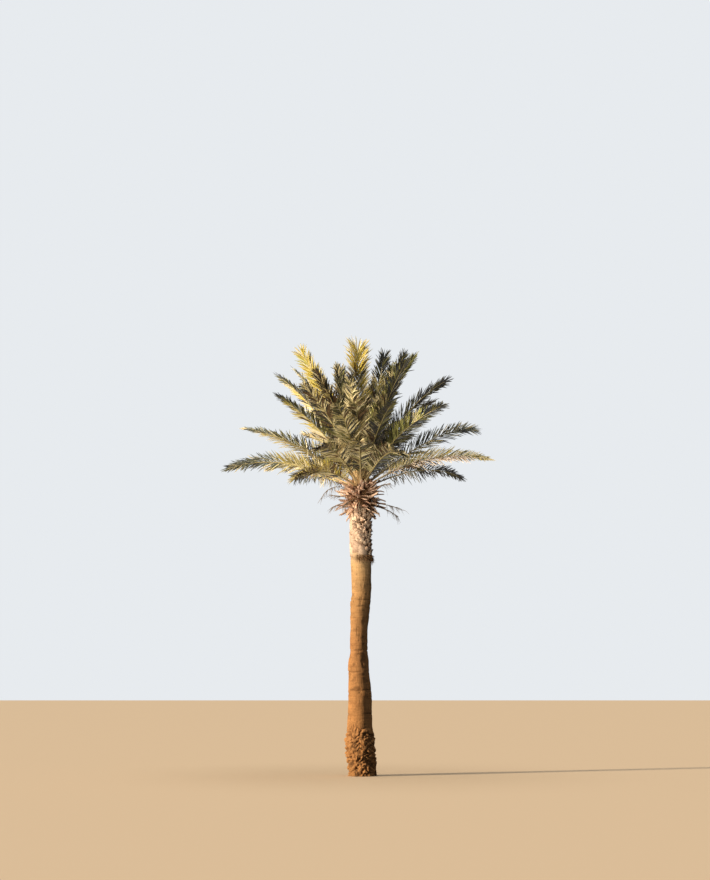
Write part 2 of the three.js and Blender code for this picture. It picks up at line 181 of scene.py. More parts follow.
# Old stalks under the crown: azimuth, height, elevation at the foot and at the tip, length and radius.
STALKS = [
    (2, 5.370, -2, -26, 0.700, 0.011),
    (10, 5.330, -8, -38, 0.640, 0.012),
    (347, 5.655, 12, 14, 0.450, 0.014),
    (176, 5.480, 8, 6, 0.430, 0.013),
    (160, 5.430, -8, -28, 0.480, 0.014),
    (195, 5.580, 34, -80, 0.790, 0.009),
    (86, 5.500, -6, -32, 0.600, 0.012),
    (129, 5.650, 14, 2, 0.470, 0.014),
    (266, 5.370, -10, -40, 0.560, 0.012),
    (233, 5.420, -12, -40, 0.480, 0.012),
]
STALK = {"sunk": 0.030, "steps": 6, "fine": 4, "sides": 7, "tip": 0.55, "knobbly": 0.18}
TWIGS = {
    "count": 20, "from": 0.50, "strays": 0.45, "sinks": 0.35,
    "length": (0.06, 0.16), "droop": (0.1, 0.6), "thick": 0.010,
}

UP = np.array([0.0, 0.0, 1.0])


def lerp(a, b, share):
    """Between a and b by share."""
    return a + (b - a) * share


def smooth(low, high, value):
    """0 below low, 1 above high, and a smooth turn between."""
    share = np.clip((value - low) / (high - low), 0, 1)
    return share * share * (3 - 2 * share)


def direction(azimuth, elevation):
    """The unit vector that points there. Angles may be arrays."""
    a, e = np.radians(azimuth), np.radians(elevation)
    return np.stack([np.cos(a) * np.cos(e), np.sin(a) * np.cos(e), np.sin(e) * np.ones_like(a)], -1)


def turned(vector, axis, degrees):
    """The vector turned about a unit axis. All three may be arrays of rows."""
    angle = np.radians(np.asarray(degrees, float))[..., None]
    along_axis = (vector * axis).sum(-1, keepdims=True) * axis
    across = (vector - along_axis) * np.cos(angle)
    return along_axis + across + np.cross(axis, vector) * np.sin(angle)


def trunk_at(z):
    """The trunk's centre to the right and its radius, on the smooth line that the solids follow too."""
    rows = TRUNK
    i = min(max(int(np.searchsorted(rows[:, 0], z, side="right")) - 1, 0), len(rows) - 2)

    def slope(k):
        before, after = rows[max(k - 1, 0)], rows[min(k + 1, len(rows) - 1)]
        return (after - before) / (after[0] - before[0]) * (rows[i + 1, 0] - rows[i, 0])

    t = (z - rows[i, 0]) / (rows[i + 1, 0] - rows[i, 0])
    rise = (2 * t - 3) * t * t
    between = rows[i] * (1 + rise) - rows[i + 1] * rise
    at = between + slope(i) * t * (1 - t) ** 2 - slope(i + 1) * t * t * (1 - t)
    return at[1], at[2]


def trunk_side(azimuth, z, sunk):
    """A point that is sunk into the trunk's side."""
    centre, radius = trunk_at(min(z, TRUNK[-1, 0]))
    return np.array([centre, 0, z]) + direction(azimuth, 0) * (radius - sunk)


# Noise and cells repeat after that many lumps.
PERIOD = 32


def noise(points, size, seed):
    """Smooth noise from -1 to 1 whose lumps are about that size, at each point."""
    grid = np.random.default_rng(seed).uniform(-1, 1, (PERIOD,) * 3)
    place = points / size
    low = np.floor(place).astype(int)
    part = place - low
    part = part * part * (3 - 2 * part)
    total = np.zeros(points.shape[:-1])
    for corner in product((0, 1), repeat=3):
        weight = np.where(corner, part, 1 - part).prod(-1)
        at = (low + corner) % PERIOD
        total += weight * grid[at[..., 0], at[..., 1], at[..., 2]]
    return total


def cells(points, size, seed):
    """Splits space into cells of about that size. Gives how far inside its cell each point is, from 0 on
    the cracks to about 1 in the middle, and a number from 0 to 1 that each cell has of its own."""
    offsets = np.random.default_rng(seed).uniform(0, 1, (PERIOD,) * 3 + (4,))
    place = points / size
    low = np.floor(place).astype(int)
    nearest = np.full(points.shape[:-1], 9.0)
    second = np.full(points.shape[:-1], 9.0)
    own = np.zeros(points.shape[:-1])
    for step in product((-1, 0, 1), repeat=3):
        at = low + step
        wrapped = at % PERIOD
        cell = offsets[wrapped[..., 0], wrapped[..., 1], wrapped[..., 2]]
        distance = np.linalg.norm(at + cell[..., :3] - place, axis=-1)
        second = np.minimum(second, np.maximum(nearest, distance))
        own = np.where(distance < nearest, cell[..., 3], own)
        nearest = np.minimum(nearest, distance)
    return second - nearest, own


def add_mesh(name, corners, faces, smooth_faces=False, **values):
    """A mesh object. values are numbers for each corner, which its material can read."""
    mesh = bpy.data.meshes.new(name)
    mesh.from_pydata(corners.reshape(-1, 3).tolist(), [], faces)
    for key, numbers in values.items():
        layer = mesh.attributes.new(key, "FLOAT", "POINT")
        layer.data.foreach_set("value", np.ascontiguousarray(numbers, dtype=np.float32).ravel())
    mesh.polygons.foreach_set("use_smooth", [smooth_faces] * len(mesh.polygons))
    mesh.update()
    piece = bpy.data.objects.new(name, mesh)
    bpy.context.scene.collection.objects.link(piece)
    return piece


def tube_faces(count, steps, sides):
    """The faces of closed tubes whose corners come tube by tube and ring by ring."""
    low = (np.arange(count)[:, None] * steps + np.arange(steps - 1)).reshape(-1, 1) * sides
    here = np.arange(sides)
    after = (here + 1) % sides
    walls = np.stack([low + here, low + after, low + sides + after, low + sides + here], -1).reshape(-1, 4)
    starts = np.arange(count)[:, None] * steps * sides + here[::-1]
    ends = (np.arange(count)[:, None] + 1) * steps * sides - sides + here
    return walls.tolist() + starts.tolist() + ends.tolist()


def tubes(name, rings, smooth_faces=False, **values):
    """Closed tubes as one mesh. Each tube's rings of corners run anticlockwise, seen from its far end."""
    rings = np.asarray(rings)
    count, steps, sides, _ = rings.shape
    return add_mesh(name, rings, tube_faces(count, steps, sides), smooth_faces, **values)


# Bark
BARK = {"around": 176, "rows": 470, "heart_rows": 12, "fades": (-0.02, 0.03), "heart_dark": 0.6}
DEEP_RINGS = (1.199, 1.600, 1.657, 2.007, 2.420, 3.290, 3.424)
RING = {"pitch": 0.052, "half": 0.006, "deep_half": 0.016}

# The marks in the bark above the foot: how deep each kind is, and how dark.
MARKS = {
    "shallow": (0.0025, 0.16),
    "deep": (0.013, 0.50),
    "cracks": (0.004, 0.45),
    "pits": (0.003, 0.20),
    "chips": (0.006, 0.30),
}
WAVES = 0.008
STRANDS = 0.0015

# The knobs of the foot, with painted shade in the gaps between them, the ragged collar under the lowest
# scales, the trunk's rough side, and the painted shade under the scales, from the smooth side to the rough
# one, and under the stubs.
FOOT_TOP = (0.78, 1.04)
KNOBS = {
    "size": 0.120, "squat": 1.45, "shift": 0.045, "out": 0.046, "rough": 0.010, "sunk": 0.026, "dark": 0.8,
}
CRUMBS = {"size": 0.048, "out": 0.018, "dark": 0.5}
COLLAR = {"z": 4.255, "half": 0.072, "azimuth": 320, "out": 0.018, "dark": 0.58}
ROUGH = {"azimuth": 325, "from": 4.50, "full": 4.70, "lower_by": 0.32, "lowest_at": 350}
SCALE_SHADE = (0.12, 0.92)
STUB_SHADE = 0.9
STUB_ZONE = (5.12, 5.26)


def ring_scars(points, z):
    """The scars that old leaves left round the trunk: how deep each point is in shallow and deep ones."""
    level = z + 0.016 * noise(points, 0.22, 2) + 0.009 * noise(points, 0.06, 3)
    wear = smooth(-0.5, 0.6, noise(points, 0.30, 4))
    pitch = level / RING["pitch"] + 0.9 * noise(points * (0, 0, 1), 0.18, 5)
    from_ring = np.abs(pitch - np.round(pitch)) * RING["pitch"]
    shallow = np.exp(-((from_ring / RING["half"]) ** 2)) * (0.15 + 0.85 * wear)
    deep = np.zeros_like(z)
    for k, height in enumerate(DEEP_RINGS):
        part = smooth(-0.35, 0.35, noise(points, 0.16, 20 + k))
        deep = np.maximum(deep, np.exp(-(((level - height) / RING["deep_half"]) ** 2)) * part)
    return shallow, deep


def bark_marks(points, z):
    """How deep each point is in each kind of mark, from 0 to 1."""
    shallow, deep = ring_scars(points, z)
    cracks = smooth(0.40, 0.75, noise(points * (1, 1, 0.22), 0.024, 7))
    chips = smooth(0.35, 0.55, noise(points * (1, 1, 1.3), 0.085, 19))
    return {
        "shallow": shallow,
        "deep": deep,
        "cracks": cracks * smooth(-0.1, 0.5, noise(points, 0.2, 8)),
        "pits": smooth(0.50, 0.85, noise(points * (1, 1, 1.6), 0.045, 9)),
        "chips": chips * smooth(-0.2, 0.3, noise(points, 0.4, 32)),
    }


def knobs(points):
    """The rough lumps on the swollen foot: how far they stand out, and how deep each point lies between
    them, where the bark gets painted shade.
    """
    shift = np.stack([noise(points, 0.09, seed) for seed in (14, 15, 16)], -1)
    bent = points * (1, 1, KNOBS["squat"]) + KNOBS["shift"] * shift
    inside, own = cells(bent, KNOBS["size"], 10)
    lump = smooth(0.0, 0.42, inside) * (0.35 + 0.65 * own)
    finer, finer_own = cells(bent + 0.3, CRUMBS["size"], 11)
    crumb = smooth(0.0, 0.40, finer) * finer_own
    rough = KNOBS["rough"] * noise(points, 0.035, 17)
    out = KNOBS["out"] * lump + CRUMBS["out"] * crumb + rough - KNOBS["sunk"]
    gap = (1 - smooth(0.0, 0.26, inside)) * (0.3 + 0.7 * smooth(-0.4, 0.4, noise(points, 0.13, 18)))
    return out, np.clip(gap + CRUMBS["dark"] * (1 - smooth(0.0, 0.12, finer)), 0, 1)


def facing(azimuth, way):
    """From -1 to 1, how much an azimuth faces another one."""
    return np.cos(np.radians(azimuth - way))


def collar_at(points, azimuth, z):
    """How much of the ragged collar each point has."""
    from_middle = z - COLLAR["z"] + 0.030 * noise(points, 0.09, 33)
    collar = np.exp(-((from_middle / COLLAR["half"]) ** 2))
    side = facing(azimuth, COLLAR["azimuth"]) + 0.3 * noise(points, 0.12, 35)
    return collar * smooth(-0.5, 0.4, side) * smooth(-0.9, 0.2, noise(points, 0.05, 34))


def roughness_at(azimuth, z):
    """How rough the trunk's top is. Its side away from the sun has kept more of its leaf bases."""
    level = z + ROUGH["lower_by"] * facing(azimuth, ROUGH["lowest_at"])
    side = smooth(-0.4, 0.6, facing(azimuth, ROUGH["azimuth"]))
    return smooth(ROUGH["from"], ROUGH["full"], level) * side


def shade_under_bases(azimuth, z):
    """Painted shade on the bark under the scales and the stubs, darkest on the trunk's rough side."""
    above_collar = smooth(COLLAR["z"], COLLAR["z"] + 0.10, z)
    scales = lerp(*SCALE_SHADE, roughness_at(azimuth, z)) * above_collar
    return np.maximum(scales, STUB_SHADE * smooth(*STUB_ZONE, z))


def bark_relief(points, z):
    """How far the bark stands out from the trunk's outline, and how dark each point is: darker in its marks
    and its collar, with painted shade between the foot's knobs and under the leaf bases.
    """
    azimuth = np.degrees(np.arctan2(points[..., 1], points[..., 0]))
    ragged = collar_at(points, azimuth, z)
    knob, gap = knobs(points)
    foot = 1 - smooth(*FOOT_TOP, z + 0.12 * noise(points, 0.16, 12))
    trunk = 1 - foot
    marks = bark_marks(points, z)

    out = WAVES * noise(points, 0.16, 13) + STRANDS * noise(points * (1, 1, 0.10), 0.011, 6)
    out -= trunk * sum(MARKS[kind][0] * mark for kind, mark in marks.items())
    out += COLLAR["out"] * ragged + foot * knob
    # The marks and the collar are darker in colour; the gaps between the foot's knobs and the bark under the
    # leaf bases get painted shade.
    dark = [
        trunk * np.maximum.reduce([MARKS[kind][1] * mark for kind, mark in marks.items()]),
        KNOBS["dark"] * foot * gap,
        COLLAR["dark"] * ragged,
        shade_under_bases(azimuth, z),
    ]
    return out, np.clip(np.maximum.reduce(dark), 0, 1)


def bark_mesh():
    """The trunk from the flat cut at the ground to the tip of its heart, with its bark's relief."""
    top = HEART["centre"][2]
    heights = np.linspace(0, top, BARK["rows"])
    outline = np.array([trunk_at(z) for z in heights])
    angles = (np.arange(BARK["around"]) + 0.5) / BARK["around"] * 2 * math.pi
    z, angle = np.meshgrid(heights, angles, indexing="ij")
    centre, radius = outline[:, :1], outline[:, 1:]
    lump = ROOT_LUMPS["depth"] * np.clip(1 - z / ROOT_LUMPS["height"], 0, None)
    reach = radius * (1 + lump * np.sin(ROOT_LUMPS["around"] * angle + z / ROOT_LUMPS["twist"]))
    on_axis = np.stack([reach * np.cos(angle), reach * np.sin(angle), z], -1)
    out, crack = bark_relief(on_axis, z)
    reach = reach + out * smooth(*BARK["fades"], z)
    bark = np.stack([centre + reach * np.cos(angle), reach * np.sin(angle), z], -1)

    rise = (np.arange(BARK["heart_rows"]) + 1) / (BARK["heart_rows"] + 0.5) * (math.pi / 2)
    share, angle = np.meshgrid(rise, angles, indexing="ij")
    across = HEART["radius"] * np.cos(share)
    heart = HEART["centre"] + np.stack(
        [across * np.cos(angle), across * np.sin(angle), HEART["height"] * np.sin(share)], -1
    )
    corners = np.concatenate([bark, heart])
    # The darkness of the marks, the painted shade, and a fixed darkness on the heart.
    cracks = np.concatenate([crack, np.full(share.shape, BARK["heart_dark"])])
    faces = tube_faces(1, len(corners), BARK["around"])
    return add_mesh("trunk_bark", corners, faces, True, crack=cracks)


# Leaf bases
BASE_OUTLINE = np.array([
    (-1.0, 0.10), (-0.62, -0.34), (0.0, -0.52), (0.62, -0.34),
    (1.0, 0.10), (0.55, 0.22), (0.0, 0.12), (-0.55, 0.22),
])


def leaf_base_rings(foot, forward, reach, width, thickness, widths, bend, ragged):
    """A cut leaf base: hollow above and round below, a little twisted, with a ragged slanting end."""
    steps = len(widths)
    side = np.cross(UP, forward)
    side = turned(side / np.linalg.norm(side), forward, normal(0, BASE["twist"]))
    slant = uniform(-BASE["slant"], BASE["slant"])
    rings = []
    for i, wide in enumerate(widths):
        share = i / (steps - 1)
        heading = turned(forward, side, -bend * share)
        up = np.cross(heading, side)
        centre = foot + forward * reach * share + (heading - forward) * reach * share * 0.5
        thick = thickness * lerp(1.0, BASE["cut_thickness"], share)
        across = BASE_OUTLINE[:, :1] * side * width * wide / 2
        ring = centre + across + BASE_OUTLINE[:, 1:] * up * thick
        if i == steps - 1:
            slip = slant * BASE_OUTLINE[:, 0] * width * wide / 2
            slip = slip + ragged * uniform(-1, 1, len(ring))
            ring = ring + slip[:, None] * heading
        rings.append(ring)
    return np.array(rings)


def scale_rings(middle, foot, size):
    """A cut scale: a plate that wraps part of the trunk, narrows upward, leans out and has a torn edge."""
    tall, foot_spread, top_spread, lean, thick, tear = size
    tall *= uniform(0.75, 1.2)
    lean *= uniform(0.5, 1.4)
    spread = np.linspace(-1, 1, SCALES["across"])
    tear = uniform(-1, 1, SCALES["across"]) * tear
    rings = []
    for step in np.linspace(0, 1, SCALES["up"]):
        z = foot + tall * step + tear * step**4
        turn = np.radians(middle + spread * lerp(foot_spread, top_spread, step**1.3))
        centre, radius = trunk_at(foot + tall * step)
        outer = radius + SCALES["clear"] + SCALES["bulge"] * (1 - spread**2) + lean * step**1.3
        inner = outer - thick * (1 - 0.4 * step)
        edges = [
            np.stack([centre + reach * np.cos(turn), reach * np.sin(turn), z], -1)
            for reach in (outer, inner)
        ]
        rings.append(np.concatenate([edges[0], edges[1][::-1]]))
    return rings


def scale_rows():
    """Worn scales on the trunk's smooth side, and a crust of small ones on its rough side."""
    rings = []
    for i in range(SCALES["count"]):
        middle = i * GOLDEN_ANGLE
        foot = lerp(SCALES["from"], SCALES["to"], i / (SCALES["count"] - 1)) - SCALES["below"]
        if roughness_at(middle, foot) < 0.5:
            rings.append(scale_rings(middle, foot, WORN_SCALE))
    for i in range(CRUST["count"]):
        middle = i * GOLDEN_ANGLE + uniform(-CRUST["strays"], CRUST["strays"])
        foot = lerp(CRUST["from"], CRUST["to"], i / (CRUST["count"] - 1))
        if uniform() < CRUST["share"] * roughness_at(middle, foot):
            rings.append(scale_rings(middle, foot, CRUST_SCALE))
    return rings


def stub_rows():
    """The long stubs below the crown."""
    rings = []
    for i in range(STUBS["count"]):
        share = i / (STUBS["count"] - 1)
        azimuth = (SCALES["count"] + i) * GOLDEN_ANGLE
        outer = STUB_REACH["lowest"] if share < 0.5 else STUB_REACH["highest"]
        reach = lerp(outer, STUB_REACH["middle"], math.sin(math.pi * share))
        reach *= 1 + STUB_REACH["varies"] * math.sin(i * 2.4)
        elevation = lerp(STUB_ELEVATION["lowest"], STUB_ELEVATION["highest"], share)
        elevation += STUB_ELEVATION["varies"] * math.sin(i * 3.1)
        foot = trunk_side(azimuth, lerp(STUBS["from"], STUBS["to"], share), BASE["sunk"])
        azimuth += normal(0, STUBS["strays"])
        forward = direction(azimuth, elevation + normal(0, STUBS["strays"]))
        width = STUBS["width"] * uniform(0.75, 1.2)
        thickness = STUBS["thickness"] * uniform(0.75, 1.15)
        bend = uniform(*STUBS["bend"])
        rings.append(leaf_base_rings(
            foot, forward, BASE["sunk"] + reach, width, thickness, STUBS["widths"], bend, STUBS["ragged"],
        ))
    return rings


def broken_rows(count, heights, reaches, elevations, widths, everywhere):
    """Broken bases and splinters that crowd between the others and point every way. Where they don't grow
    everywhere, they keep to the trunk's rough side."""
    rings = []
    for _ in range(count):
        share = uniform()
        z = lerp(*heights, share)
        azimuth = uniform(0, 360)
        elevation = uniform(*elevations) - SPLINTER["lower"] * (1 - share)
        if not everywhere and uniform() > roughness_at(azimuth, z):
            continue
        foot = trunk_side(azimuth, z, BASE["sunk"])
        forward = direction(azimuth + uniform(-SPLINTER["strays"], SPLINTER["strays"]), elevation)
        reach = BASE["sunk"] + uniform(*reaches) * (0.6 + math.sin(math.pi * share) * 0.6)
        width = uniform(*widths)
        cut_width = uniform(*SPLINTER["cut_width"])
        rings.append(leaf_base_rings(
            foot, forward, reach, width, width * SPLINTER["thickness"],
            np.linspace(SPLINTER["foot_width"], cut_width, SPLINTER["steps"]),
            uniform(*SPLINTER["bend"]), SPLINTER["ragged"],
        ))
    return rings


def leaf_base_mesh(name, rings):
    """Leaf bases as one piece. along runs from the trunk to the cut, and tone differs from base to base."""
    rings = np.array(rings)
    count, steps, sides, _ = rings.shape
    along = np.broadcast_to(np.linspace(0, 1, steps)[None, :, None], (count, steps, sides))
    tone = np.broadcast_to(uniform(0, 1, (count, 1, 1)), (count, steps, sides))
    return tubes(name, rings, along=along, tone=tone)


# Strands of fibre, thin dry stalks and spines
def strand_rings(foot, forward, length, thick, droop, steps=5, sides=3):
    """Thin tapering strands that start along forward and sink, from arrays with a row for each strand."""
    side = np.cross(forward, UP)
    side /= np.maximum(np.linalg.norm(side, axis=-1, keepdims=True), 1e-6)
    up = np.cross(side, forward)
    share = np.linspace(0, 1, steps)[None, :, None]
    centre = foot[:, None] + forward[:, None] * length[:, None, None] * share
    centre = centre - UP * droop[:, None, None] * length[:, None, None] * share**2
    turn = np.linspace(0, 2 * math.pi, sides, endpoint=False)[None, None, :, None]
    size = (thick[:, None, None, None] / 2) * lerp(1, 0.25, share)[..., None]
    spoke = np.cos(turn) * side[:, None, None] + np.sin(turn) * up[:, None, None]
    return centre[:, :, None] + size * spoke


def fibre_rings(count, heights, azimuths, elevations, *sizes):
    """Strands that stand out of the trunk between two heights and two azimuths."""
    z = uniform(*heights, count)
    azimuth = uniform(*azimuths, count)
    outline = np.array([trunk_at(height) for height in z])
    on_axis = np.stack([outline[:, 0], np.zeros(count), z], -1)
    foot = on_axis + direction(azimuth, 0) * (outline[:, 1:] + 0.004)
    azimuth = azimuth + uniform(-50, 50, count)
    forward = direction(azimuth, uniform(*elevations, count))
    return strand_rings(foot, forward, *(uniform(*size, count) for size in sizes))


# Fronds
# The leaflets' tints. Slate and charcoal are painted shade, for leaflets in shadow; ivory is a pale tint
# that paints light onto the crown's shaded centre; gold is partly the leaflets' own yellow and partly
# painted light, for sun shining through them.
TINTS = {
    "gold": (0.67, 0.54, 0.115),
    "straw": (0.60, 0.52, 0.250),
    "cream": (0.76, 0.67, 0.430),
    "painted_light_ivory": (0.90, 0.78, 0.480),
    "blush": (0.72, 0.61, 0.500),
    "lime": (0.54, 0.53, 0.180),
    "moss": (0.27, 0.27, 0.085),
    "olive": (0.145, 0.140, 0.052),
    "sage": (0.265, 0.285, 0.225),
    "shade_slate": (0.052, 0.052, 0.044),
    "shade_charcoal": (0.048, 0.058, 0.074),
    "umber": (0.140, 0.088, 0.046),
}

# How many leaflets in a hundred wear each tint. The slate and charcoal in them are painted shade, so the
# dark mix is mostly painted shade.
MIXES = {
    "dark": dict(shade_charcoal=52, shade_slate=20, olive=28),
    "khaki": dict(shade_slate=28, shade_charcoal=8, olive=12, straw=14, painted_light_ivory=32, umber=6),
    "golden": dict(gold=76, lime=14, cream=10),
    "tan": dict(straw=34, cream=26, umber=12, gold=16, shade_slate=12),
    "brown": dict(umber=28, straw=22, olive=16, cream=20, shade_slate=14),
    "pale": dict(cream=46, straw=26, gold=8, moss=10, olive=10),
    "dry": dict(umber=20, straw=18, olive=12, painted_light_ivory=28, shade_slate=22),
    "grey": dict(sage=48, shade_charcoal=18, cream=26, olive=8),
    "lime": dict(lime=44, cream=12, moss=12, olive=14, shade_slate=18),
    "green": dict(olive=30, shade_slate=30, sage=12, lime=14, cream=14),
    "dusk": dict(shade_slate=34, shade_charcoal=8, umber=24, straw=8, painted_light_ivory=26),
    "rosy": dict(blush=68, umber=12, sage=12, shade_slate=8),
}

# What each ring's fronds wear on the sunny side and on the shady one, as in the first table. The shady
# side's darker mixes are painted shade, and where a frond's two sides wear a light and a dark mix, they
# paint a sunlit and a shaded row.
SUNNY_DRESS = [
    ("khaki", "brown", "khaki", 0.60),
    ("dry", "khaki", "khaki", 0.50),
    ("khaki", "pale", "khaki", 0.55),
    ("dusk", "khaki", "dusk", 0.50),
    ("khaki", "brown", "khaki", 0.60),
]
SHADY_DRESS = [
    ("dark", "dry", "khaki", 0.50),
    ("khaki", "dark", "khaki", 0.50),
    ("dark", "khaki", "dark", 0.60),
    ("khaki", "dark", "khaki", 0.45),
    ("dark", "khaki", "dark", 0.60),
]


def on_shady_side(azimuth):
    """Whether a frond points to the right, away from the low sun, and so wears painted shade."""
    return math.cos(math.radians(azimuth)) > 0.1


def frond_rows():
    """Every frond with what it wears, in the order of its nodes."""
    rows = []
    for ring, (azimuths, *shape) in enumerate(RINGS):
        for i, azimuth in enumerate(azimuths):
            varied = (shape + RING_VARIES * math.sin((ring * 7 + i) * 2.3)).tolist()
            roll = RING_ROLL * math.cos(azimuth * 1.7)
            dress = SHADY_DRESS if on_shady_side(azimuth) else SUNNY_DRESS
            rows.append((azimuth, *varied, roll, RING_POINTED, *dress[ring]))
    return OUTLINE_FRONDS + rows + SINGLE_FRONDS


def frond_foot(azimuth, launch):
    """Where a frond leaves the heart: steep ones near its tip, and level ones low on its side."""
    climb = (launch - FOOT["low_launch"]) * FOOT["per_launch"]
    angle = math.radians(min(max(climb, 0), FOOT["highest"]))
    across = direction(azimuth, 0) * HEART["radius"] * math.cos(angle)
    return HEART["centre"] + across + UP * HEART["height"] * math.sin(angle)


def walk_rib(azimuth, launch, tip, bend, length, roll, pointed):
    """A frond's rib in equal steps: at each the point, the way on, the side and the upper side. open is its
    leaflets' angle to the rib near its foot."""
    share = np.linspace(0, 1, FROND["steps"] + 1)
    elevation = lerp(launch, tip, share**bend)
    azimuths = np.full_like(share, azimuth)
    forward = direction(azimuths, elevation)
    rolled = roll * np.minimum(1, share / FROND["rolled_by"])
    up = turned(direction(azimuths, elevation + 90), forward, rolled)
    side = np.cross(forward, up)
    stride = np.full(FROND["steps"], length / FROND["steps"])
    stride[0] += FROND["sunk"]
    start = frond_foot(azimuth, launch) - forward[0] * FROND["sunk"]
    point = start + np.concatenate([np.zeros((1, 3)), np.cumsum(forward[:-1] * stride[:, None], 0)])
    old, young = OPEN["old_launch"], OPEN["young_launch"]
    youth = min(max((launch - old) / (young - old), 0), 1)
    return {
        "share": share, "point": point, "forward": forward, "up": up, "side": side, "length": length,
        "open": lerp(OPEN["old"], OPEN["young"], youth), "pointed": pointed,
    }


def rib_at(walk, share):
    """The point, the way on, the side and the upper side at any share of the rib."""
    return [
        np.array([np.interp(share, walk["share"], walk[key][:, axis]) for axis in range(3)])
        for key in ("point", "forward", "side", "up")
    ]


def rib_width(share):
    """How wide a rib is at a share of its length."""
    return lerp(RIB["tip_width"], RIB["base_width"], (1 - share) ** RIB["width_taper"])


RIB_OUTLINE = np.array([
    (1.0, 0.25), (0.62, 0.86), (0.0, 1.0), (-0.62, 0.86),
    (-1.0, 0.25), (-0.72, -0.62), (0.0, -1.0), (0.72, -0.62),
]) / 2


def rib_rings(walk, first, last):
    """The rib between two of its steps. Its foot is broad and flat, as a sheathing leaf base is."""
    share, point, side, up = (walk[key][first : last + 1] for key in ("share", "point", "side", "up"))
    flare = 1 + RIB["flare"] * (1 - smooth(0.0, RIB["flare_end"], share))
    width = rib_width(share) * flare
    height = lerp(RIB["tip_height"], RIB["base_height"], (1 - share) ** RIB["height_taper"])
    across = side[:, None] * (width[:, None, None] * -RIB_OUTLINE[None, :, :1])
    upward = up[:, None] * (height[:, None, None] * RIB_OUTLINE[None, :, 1:])
    return point[:, None] + across + upward


LEAF_GROUP = {"pitch": 0.031, "spread": 0.016, "fan": (1.0, -0.75, 0.1), "strays": 0.2}
# Fronds that let the sky through, by number: the share of their leaflets that is left out.
THINNED = {12: 0.25, 14: 0.45, 16: 0.25, 21: 0.35, 25: 0.50, 43: 0.40}
TUFT = {"count": 20, "from": 0.82, "first": (34, 15), "last": 4, "least": 0.58, "vee": (-10, 30)}
# A blade's outline: its width along its length, in shares of both.
BLADE = np.array([(0.0, 0.42), (0.14, 0.90), (0.42, 1.0), (0.80, 0.78), (1.0, 0.08)])
BLADE_WIDTH = 0.022
BLADE_THICK = 0.0024
BLADE_FOLD = 30
SPINES = {
    "from": 0.055, "past": 0.01, "pitch": 0.0085, "strays": 0.003, "thick": 0.0065,
    "vee": (5, 60), "angle": (38, 62), "lengths": (0.05, 0.15), "varies": (0.7, 1.2),
}
# How often a leaflet wears the tint of the one before it, and how gradually a frond's outer mix sets in.
SAME_TINT = 0.62
MIX_TURN = 0.08


def pick_tint(mix, last):
    """A tint dealt out by its mix. Neighbours often wear the same one, which last names."""
    tints = list(MIXES[mix])
    if last in tints and uniform() < SAME_TINT:
        return last
    return tints[random.choice(len(tints), p=np.array([MIXES[mix][tint] for tint in tints]) / 100)]


def leaflet_row(walk, share, hand, angle, vee, dress, least, last):
    """One leaflet: its root, its direction, its upper side, its length, width, droop and tint."""
    left, right, outer, turn = dress
    share = min(max(share, 0), 1)
    point, forward, side, up = rib_at(walk, lerp(FROND["stalk"], FROND["rib"], share))
    angle, vee = math.radians(angle), math.radians(vee)
    out = hand * side * math.cos(vee) + up * math.sin(vee)
    way = forward * math.cos(angle) + out * math.sin(angle)
    upper = np.cross(way, forward * math.sin(angle) - out * math.cos(angle)) * hand
    upper = turned(upper, way, hand * normal(*LEAFLET["twist"]))
    full = 0.5 + 0.5 * math.sin(math.pi / 2 * min(1, share / LEAFLET["full_by"]))
    shorter = lerp(BLUNT_TIP["shorter"], POINTED_TIP["shorter"], walk["pointed"])
    late = max(0, (share - LEAFLET["shorter_from"]) / (1 - LEAFLET["shorter_from"]))
    full_length = LEAFLET["length"] * full * max(1 - shorter * late**1.15, least)
    length = full_length * uniform(*LEAFLET["lengths"])
    root = point + hand * side * rib_width(share) * 0.3
    inner = left if hand < 0 else right
    mix = outer if uniform() < smooth(turn - MIX_TURN, turn + MIX_TURN, share) else inner
    width = BLADE_WIDTH * lerp(0.55, 1, full) * uniform(*LEAFLET["widths"])
    return root, way, upper, length, width, uniform(*LEAFLET["droops"]), pick_tint(mix, last)


def side_leaflets(walk, index, dress, worn):
    """A frond's leaflets, in groups that point different ways. worn holds each side's last tint."""
    rows = []
    thinned = THINNED.get(index + 1, 0)
    groups = round(walk["length"] * (FROND["rib"] - FROND["stalk"]) / LEAF_GROUP["pitch"])
    end = lerp(BLUNT_TIP["angle"], POINTED_TIP["angle"], walk["pointed"])
    for group, hand in product(range(groups), (-1, 1)):
        for k, fan in enumerate(LEAF_GROUP["fan"][: 2 + (group + index) % 2]):
            if thinned and uniform() < thinned:
                continue
            share = (group + 0.5 + LEAF_GROUP["strays"] * uniform(-1, 1)) / groups
            share += (k - 0.5) * LEAF_GROUP["spread"] / walk["length"]
            angle = lerp(walk["open"], end, share) + normal(0, LEAFLET["strays"])
            turn = fan if (group + (hand > 0)) % 2 else -fan
            vee = lerp(LEAFLET["base_vee"], LEAFLET["tip_vee"], share)
            vee += turn * LEAFLET["vee_spread"] + normal(0, LEAFLET["vee_strays"])
            rows.append(leaflet_row(walk, share, hand, angle, vee, dress, 0, worn[hand]))
            worn[hand] = rows[-1][-1]
    return rows


def tip_leaflets(walk, dress, worn):
    """The tuft of leaflets that fills a frond's tip."""
    rows = []
    first = lerp(*TUFT["first"], walk["pointed"])
    for k in range(TUFT["count"]):
        part = k / (TUFT["count"] - 1)
        angle = lerp(first, TUFT["last"], part) + normal(0, 2)
        share = lerp(TUFT["from"], 1, part)
        hand = 1 - 2 * (k % 2)
        vee = uniform(*TUFT["vee"])
        rows.append(leaflet_row(walk, share, hand, angle, vee, dress, TUFT["least"], worn[hand]))
    return rows


